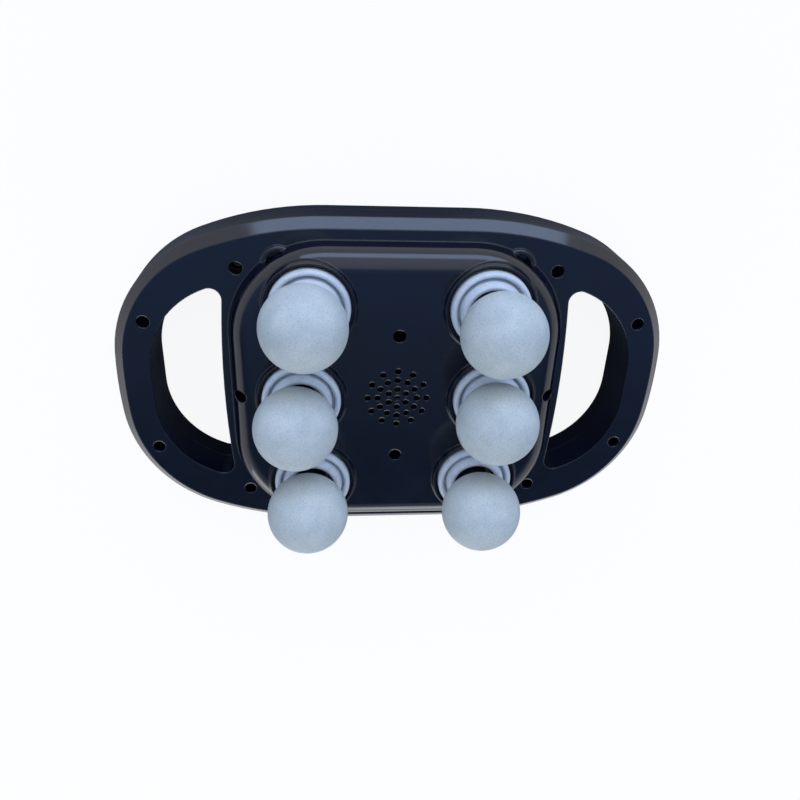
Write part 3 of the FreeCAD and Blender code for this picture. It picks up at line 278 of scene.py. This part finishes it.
def put(name, points, faces, material, body, smooth=True):
    """Mesh object at the origin from points in metres and faces, riding on a body of the part."""
    mesh = bpy.data.meshes.new(name)
    mesh.from_pydata(points.tolist(), [], faces)
    mesh.polygons.foreach_set("use_smooth", [smooth] * len(mesh.polygons))
    mesh.materials.append(material)
    mesh.update()
    piece = bpy.data.objects.new(name, mesh)
    bpy.context.scene.collection.objects.link(piece)
    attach(piece, body)
    return piece


def rounded_loop(corners, tension=0.5, per_span=8):
    """Closed cardinal spline: between two corners the line is the cubic whose end slopes are tension times the
    step from the corner before to the corner after."""
    here = np.asarray(corners, float)
    after = np.roll(here, -1, axis=0)
    slope = tension * (after - np.roll(here, 1, axis=0))
    end_slope = np.roll(slope, -1, axis=0)
    t = np.linspace(0, 1, per_span, endpoint=False)[None, :, None]
    line = (
        (2 * t**3 - 3 * t**2 + 1) * here[:, None]
        + (t**3 - 2 * t**2 + t) * slope[:, None]
        + (3 * t**2 - 2 * t**3) * after[:, None]
        + (t**3 - t**2) * end_slope[:, None]
    )
    return line.reshape(-1, 2)


def ring_points(profile_mm, centre_mm):
    """Profile (radius, height) turned about a vertical axis: x = r cos a, y = r sin a, z = height."""
    angle = np.linspace(0, 2 * np.pi, AROUND, endpoint=False)[None, :]
    radius, height = profile_mm[:, :1], profile_mm[:, 1:]
    grid = np.stack([radius * np.cos(angle), radius * np.sin(angle), height + 0 * angle], axis=-1)
    return (grid + np.asarray(centre_mm)) * MM


def grid_faces(rows, columns, closed_rows):
    """Quads of a grid that is closed along its columns, and along its rows where asked."""
    row = np.arange(rows if closed_rows else rows - 1)[:, None]
    column = np.arange(columns)[None, :]
    next_row, next_column = (row + 1) % rows, (column + 1) % columns
    corners = (row * columns + column, row * columns + next_column, next_row * columns + next_column)
    quads = np.stack([*corners, next_row * columns + column], axis=-1)
    return quads.reshape(-1, 4)


def turned_ring(name, profile_mm, centre_mm, material, body):
    """Closed ring: a closed profile, given counter-clockwise with radius to the right, turned all the way round."""
    points = ring_points(profile_mm, centre_mm)
    faces = grid_faces(len(profile_mm), AROUND, closed_rows=True)
    return put(name, points.reshape(-1, 3), faces.tolist(), material, body)


def turned_solid(name, profile_mm, centre_mm, material, body):
    """Closed body: an open profile from the lower pole to the upper pole, turned, with a point at each pole."""
    points = ring_points(profile_mm[1:-1], centre_mm).reshape(-1, 3)
    rows = len(profile_mm) - 2
    poles = (np.array([[0, 0, profile_mm[0, 1]], [0, 0, profile_mm[-1, 1]]]) + np.asarray(centre_mm)) * MM
    faces = grid_faces(rows, AROUND, closed_rows=False).tolist()
    column = np.arange(AROUND)
    following = (column + 1) % AROUND
    low_pole, high_pole = rows * AROUND, rows * AROUND + 1
    last = (rows - 1) * AROUND
    faces += np.stack([0 * column + low_pole, following, column], axis=-1).tolist()
    faces += np.stack([0 * column + high_pole, last + column, last + following], axis=-1).tolist()
    return put(name, np.vstack([points, poles]), faces, material, body)


def plate_cut(name, outline_mm, low_mm, high_mm, material, body):
    """Thin plate: a counter-clockwise outline in X and Y, drawn between two heights, with flat faces."""
    count = len(outline_mm)
    lower = np.column_stack([outline_mm, np.full(count, low_mm)])
    upper = np.column_stack([outline_mm, np.full(count, high_mm)])
    index = np.arange(count)
    sides = np.stack([index, (index + 1) % count, (index + 1) % count + count, index + count], axis=-1)
    faces = [*sides.tolist(), (index + count).tolist(), index[::-1].tolist()]
    return put(name, np.vstack([lower, upper]) * MM, faces, material, body, smooth=False)


# Heads and their boots


def middle_mm(node):
    """Middle and half-size of a node's box in millimetres."""
    low, high = (np.array(corner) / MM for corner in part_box(node))
    return (low + high) / 2, (high - low) / 2


# Ball: stem bore with its play and depth, rolled lip, moulding line, and how far the skin stays inside the solid
STEM_MM = 10.0
BORE_PLAY_MM = 0.1
BORE_DEPTH_MM = 11
BORE_WALL_MM = 6
BORE_CORNER_MM = 0.2
LIP_MM = 0.7
SEAM_HEIGHT_MM = 0.05
SEAM_REACH_MM = 0.45
SKIN_INSET_MM = 0.06


def ball_profile(radius):
    """From the closed end of the stem bore, down the bore wall, round a rolled lip, then the sphere with a moulding
    line round its equator, 0.05 mm high and 0.9 mm wide, to the upper pole."""
    bore_radius = STEM_MM + BORE_PLAY_MM
    start_angle = -np.arccos((bore_radius + LIP_MM) / radius)
    angle = np.linspace(start_angle, np.pi / 2, 110)
    seam = SEAM_HEIGHT_MM * np.exp(-((radius * angle / SEAM_REACH_MM) ** 2))
    reach = radius - SKIN_INSET_MM + seam
    sphere = np.column_stack([reach * np.cos(angle), reach * np.sin(angle)])
    lip_turn = np.linspace(np.pi, start_angle + 2 * np.pi, 10)[:-1]
    lip_middle = sphere[0] - LIP_MM * np.array([np.cos(start_angle), np.sin(start_angle)])
    lip_line = lip_middle + LIP_MM * np.column_stack([np.cos(lip_turn), np.sin(lip_turn)])
    bore_top = lip_line[0, 1] + BORE_DEPTH_MM
    bore = np.array([
        [0, bore_top],
        [STEM_MM * 0.6, bore_top],
        [bore_radius, bore_top - BORE_CORNER_MM],
        [bore_radius, bore_top - BORE_WALL_MM],
    ])
    profile = np.vstack([bore, lip_line, sphere])
    profile[-1, 0] = 0
    return profile


# Half section of a boot, radius and height above the platform: its foot in the hole and the outer fold, the
# groove, the taller inner fold that the stem circles in, and the underside
BOOT_MM = [
    (22.45, -4.2), (22.5, -1.5), (22.5, 1.5), (22.4, 3.9), (21.9, 5.2), (20.7, 5.9), (19.6, 5.3), (19.1, 3.8),
    (18.9, 1.6), (18.4, 0.6), (17.8, 1.4),
    (17.6, 3.6), (17.4, 6.2), (16.8, 8.2), (15.4, 9.4), (13.9, 8.9), (13.0, 7.4), (12.8, 5.0), (12.8, 2.0),
    (13.0, 0.0), (14.2, -0.6), (16.5, -0.7), (18.8, -0.9), (20.2, -1.4), (20.8, -2.4), (20.9, -4.0), (21.6, -4.5),
]

for head in HEADS:
    ball_middle, ball_half = middle_mm(f"head_ball_{head}")
    boot_middle, _ = middle_mm(f"head_boot_{head}")
    ball_centre = (ball_middle[0], ball_middle[1], ball_middle[2] + ball_half[2] - ball_half[0])
    ball_line = ball_profile(ball_half[0])
    ball = turned_solid(f"ball_skin_{head}", ball_line, ball_centre, BALL, f"head_{head}")
    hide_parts(f"head_ball_{head}")
    boot_centre = (boot_middle[0], boot_middle[1], DECK_MM)
    boot_line = rounded_loop(BOOT_MM)
    boot = turned_ring(f"boot_folds_{head}", boot_line, boot_centre, BOOT, "casing")
    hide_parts(f"head_boot_{head}")


# Signs on the keys and the readout, read from the back, where +X is on the left

SIGN_LINE_MM = 0.6
SIGN_HEIGHT_MM = 0.06
SEGMENT_HEIGHT_MM = 0.04
PRINT_SUNK_MM = 0.1


def stroke(path, width):
    """Outline of a stroke: the path moved half the width to each side along its normals, one side reversed."""
    path = np.asarray(path, float)
    along = np.gradient(path, axis=0)
    along /= np.linalg.norm(along, axis=1, keepdims=True)
    side = np.column_stack([-along[:, 1], along[:, 0]]) * width / 2
    return np.vstack([path - side, (path + side)[::-1]])


def sign(name, outline, key):
    """Sign printed on a key's face: its outline, drawn with X to the right as read, set on the face."""
    low, high = (np.array(corner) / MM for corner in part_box(key))
    middle = (low + high) / 2
    outline = np.asarray(outline, float)
    seen = np.column_stack([middle[0] - outline[:, 0], middle[1] + outline[:, 1]])[::-1]
    face, root = low[2] - SIGN_HEIGHT_MM, low[2] + PRINT_SUNK_MM
    return plate_cut(name, seen, face, root, SIGN_INK, f"{key}_body")


def bar(length, width):
    """Rectangle round the middle, with its length along X."""
    a, b = length / 2, width / 2
    return np.array([(-a, -b), (a, -b), (a, b), (-a, b)])


turn = np.radians(np.linspace(125, 415, 60))
ring = 2.6 * np.column_stack([np.cos(turn), np.sin(turn)])
sign("power_sign_ring", stroke(ring, SIGN_LINE_MM), "power_key")
sign("power_sign_bar", bar(SIGN_LINE_MM, 2.6) + (0, 2.2), "power_key")
along = np.linspace(-2.8, 2.8, 60)
for level, height in (("upper", 0.9), ("lower", -0.9)):
    wave = np.column_stack([along, height + 0.8 * np.sin(along * 2.25)])
    sign(f"mode_sign_wave_{level}", stroke(wave, SIGN_LINE_MM), "mode_key")
a, b = 2.6, 0.32
PLUS = [(a, -b), (a, b), (b, b), (b, a), (-b, a), (-b, b), (-a, b), (-a, -b), (-b, -b), (-b, -a), (b, -a), (b, -b)]
sign("faster_sign_plus", PLUS, "faster_key")
sign("slower_sign_minus", bar(2 * a, 2 * b), "slower_key")

# Two-digit minutes readout: each digit is seven bars with pointed ends, placed by x, y and whether they stand
SEGMENTS = {
    "a": (0, 4, False), "b": (2, 2, True), "c": (2, -2, True), "d": (0, -4, False),
    "e": (-2, -2, True), "f": (-2, 2, True), "g": (0, 0, False),
}
DIGITS = {"1": "bc", "5": "acdfg"}
half, wide = 1.7, 0.42
flat = half - wide
LYING = np.array([(-half, 0), (-flat, -wide), (flat, -wide), (half, 0), (flat, wide), (-flat, wide)])
window_low, window_high = (np.array(corner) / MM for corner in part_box("display_window"))
window_middle = (window_low + window_high) / 2
face, root = window_low[2] - SEGMENT_HEIGHT_MM, window_low[2] + PRINT_SUNK_MM
for place, digit in ((-4.2, "1"), (4.2, "5")):
    for letter, (x, y, upright) in SEGMENTS.items():
        outline = LYING[:, ::-1] * (-1, 1) if upright else LYING
        outline = outline + (x + place, y)
        seen = np.column_stack([window_middle[0] - outline[:, 0], window_middle[1] + outline[:, 1]])[::-1]
        ink = LIT_SEGMENT if letter in DIGITS[digit] else UNLIT_SEGMENT
        plate_cut(f"readout_{digit}_{letter}", seen, face, root, ink, "casing")


# Finishes of the part's own pieces

FINISHES = {
    "front_shell": NAVY_FRONT, "rear_shell": NAVY_REAR, "case_screws": BLACK_ZINC, "gear_plate": BLACK_NYLON,
    "spindle_bushes": BRONZE, "idler_pins": GROUND_STEEL, "chassis_screws": ZINC_STEEL, "motor_can": ZINC_STEEL,
    "motor_rotor": ZINC_STEEL, "motor_shaft": GROUND_STEEL, "cooling_fan": BLACK_NYLON, "drive_pinion": DARK_ACETAL,
    "idler": GEAR_ACETAL, "idler_relay": DARK_ACETAL, "crank_gear": GEAR_ACETAL, "crank_shaft": GROUND_STEEL,
    "head_stem": DARK_ACETAL, "head_ball": BALL, "head_boot": BOOT, "battery_cells": SLEEVE,
    "battery_tray": BLACK_NYLON,
    "control_board": MASK, "key_switches": CHIP_EPOXY, "board_chips": CHIP_EPOXY, "key_panel": PANEL_GLOSS,
    "display_window": WINDOW, "charge_socket": NICKEL, "power_key": KEY_SATIN, "mode_key": KEY_SATIN,
    "faster_key": KEY_SATIN, "slower_key": KEY_SATIN,
}
for name, piece in nodes.items():
    family = max((key for key in FINISHES if name.startswith(key)), key=len)
    piece.data.materials.clear()
    piece.data.materials.append(FINISHES[family])


# Floor, light and camera

# The painted shadow in the reflections, a darkening drawn round the object's outline, ends between two ovals, in
# sizes of the object's own. The white low band of the surroundings fades between two heights, given as sines of the
# angle above the floor.
FLOOR_HALF = 6.0
FLOOR_DROP = 0.2 * MM
PAINTED_SHADOW_OVALS = {"From Min": 1.05, "From Max": 1.8}
LOW_BAND = {"From Min": 0.42, "From Max": 0.57, "To Min": 1.0, "To Max": 0.0}


def lift(tree, level, shade=None):
    """Strength by the kind of ray: the level for rays from the eye, through a clear piece and off a gloss, these
    last times the painted shade where one is given, and none for the rays that light the object."""
    path = add(tree, "ShaderNodeLightPath").outputs
    mirrored = path["Is Glossy Ray"]
    if shade:
        mirrored = add(tree, "ShaderNodeMath", links={0: mirrored, 1: shade}, operation="MULTIPLY")
    links = {0: path["Is Camera Ray"], 1: path["Is Transmission Ray"]}
    seen = add(tree, "ShaderNodeMath", links=links, operation="MAXIMUM")
    seen = add(tree, "ShaderNodeMath", links={0: seen, 1: mirrored}, operation="MAXIMUM")
    return add(tree, "ShaderNodeMath", {1: level}, {0: seen}, operation="MULTIPLY")


def floor():
    """Pale floor below the back: matt and shaded by the object, and lifted to white for the eye and in
    reflections. In the reflections a painted shadow stays round the object: the lift grows from nothing along
    the object's outline to the whole at nearly twice its size, measured as ovals of the same proportions."""
    square = FLOOR_HALF * np.array([(-1, -1, 0), (1, -1, 0), (1, 1, 0), (-1, 1, 0)])
    mesh = bpy.data.meshes.new("floor")
    mesh.from_pydata((square - (0, 0, FLOOR_DROP)).tolist(), [], [(0, 1, 2, 3)])
    material, tree, place = blank("pale_floor")
    matt = add(tree, "ShaderNodeBsdfDiffuse", {"Color": linear("#626467")})
    half_x, half_y = cad_box[1][0], cad_box[1][1]
    stretch = {1: (1 / half_x, 1 / half_y, 0)}
    oval = add(tree, "ShaderNodeVectorMath", stretch, {0: place}, operation="MULTIPLY")
    away = add(tree, "ShaderNodeVectorMath", links={0: oval}, operation="LENGTH").outputs["Value"]
    # Painted shadow: the white seen in reflections fades to nothing towards the object's outline
    shade = add(tree, "ShaderNodeMapRange", PAINTED_SHADOW_OVALS, {"Value": away}, interpolation_type="SMOOTHSTEP")
    strength = lift(tree, 0.9, shade)
    glow = add(tree, "ShaderNodeEmission", {"Color": linear("#ffffff")}, {"Strength": strength})
    both = add(tree, "ShaderNodeAddShader", links={0: matt, 1: glow})
    add(tree, "ShaderNodeOutputMaterial", links={"Surface": both})
    mesh.materials.append(material)
    plane = bpy.data.objects.new("floor", mesh)
    bpy.context.scene.collection.objects.link(plane)


def lamp(name, place, target, size, power, colour):
    """Rectangular soft box at a place, turned to a target."""
    data = bpy.data.lights.new(name, "AREA")
    data.shape = "RECTANGLE"
    data.size, data.size_y = size
    data.energy = power
    data.color = linear(colour)[:3]
    box = bpy.data.objects.new(name, data)
    away = np.array(place, float) - np.array(target, float)
    away /= np.linalg.norm(away)
    side = np.cross((0, 0, 1) if abs(away[2]) < 0.95 else (0, 1, 0), away)
    side /= np.linalg.norm(side)
    turn = np.eye(4)
    turn[:3, :3] = np.column_stack([side, np.cross(away, side), away])
    turn[:3, 3] = place
    box.matrix_world = Matrix(turn.tolist())
    bpy.context.scene.collection.objects.link(box)


def sky(bright_side, stops, strength):
    """Surroundings whose colour follows the direction: how far it leans to the bright side, from opposite to
    along it, picks the colour from the stops. Low down, up to some 25 degrees, the eye, a gloss and a clear piece
    see white instead, which fades out by 35 degrees."""
    world = bpy.data.worlds.new("soft_sky")
    world.use_nodes = True
    tree = world.node_tree
    tree.nodes.clear()
    way = add(tree, "ShaderNodeTexCoord").outputs["Generated"]
    lean = add(tree, "ShaderNodeVectorMath", {1: bright_side}, {0: way}, operation="DOT_PRODUCT").outputs["Value"]
    level = add(tree, "ShaderNodeMapRange", {"From Min": -1.0, "From Max": 1.0}, {"Value": lean})
    colour = add(tree, "ShaderNodeValToRGB", links={"Fac": level}, stops=stops)
    light = add(tree, "ShaderNodeBackground", {"Strength": strength}, {"Color": colour})
    white = add(tree, "ShaderNodeBackground", {"Color": linear("#ffffff"), "Strength": 1.0})
    height = add(tree, "ShaderNodeSeparateXYZ", links={"Vector": way}).outputs["Z"]
    low_band = add(tree, "ShaderNodeMapRange", LOW_BAND, {"Value": height})
    seen = add(tree, "ShaderNodeMath", links={0: lift(tree, 1.0), 1: low_band}, operation="MULTIPLY")
    both = add(tree, "ShaderNodeMixShader", links={0: seen, 1: light, 2: white})
    add(tree, "ShaderNodeOutputWorld", links={"Surface": both})
    bpy.context.scene.world = world


def camera():
    """Camera of the photograph's view: its place, its right and up directions, and a 33.3 mm lens on a 36 mm back."""
    right = np.array((0.99583, 0.0393, 0.08227))
    up = np.array((0.00464, 0.87933, -0.47618))
    turn = np.eye(4)
    turn[:3, :3] = np.column_stack([right, up, np.cross(right, up)])
    turn[:3, 3] = (-0.03744, 0.20275, 0.43575)
    data = bpy.data.cameras.new("photo_view")
    data.sensor_width = 36
    data.lens = 33.27
    data.clip_start = 0.01
    view = bpy.data.objects.new("photo_view", data)
    view.matrix_world = Matrix(turn.tolist())
    bpy.context.scene.collection.objects.link(view)
    bpy.context.scene.camera = view


floor()
SKY = [
    (0.0, "#98a4b0"), (0.3, "#a3aeb9"), (0.46, "#8f9ba9"), (0.53, "#3b495a"), (0.61, "#5f738c"), (0.7, "#6f87aa"),
    (0.82, "#748bb0"), (0.9, "#cfdbec"), (1.0, "#e8eff9"),
]
sky((0, 0.77, 0.64), SKY, 1.42)
lamp("window_light", (0.2, 1.45, 0.47), (0, 0, 0.05), (1.7, 0.6), 12, "#a9c7f6")
lamp("fill_light", (-0.2, -1.5, 0.35), (0, 0, 0.06), (2.0, 0.6), 10, "#f3f7fb")
camera()
bpy.context.scene.view_settings.view_transform = "Standard"
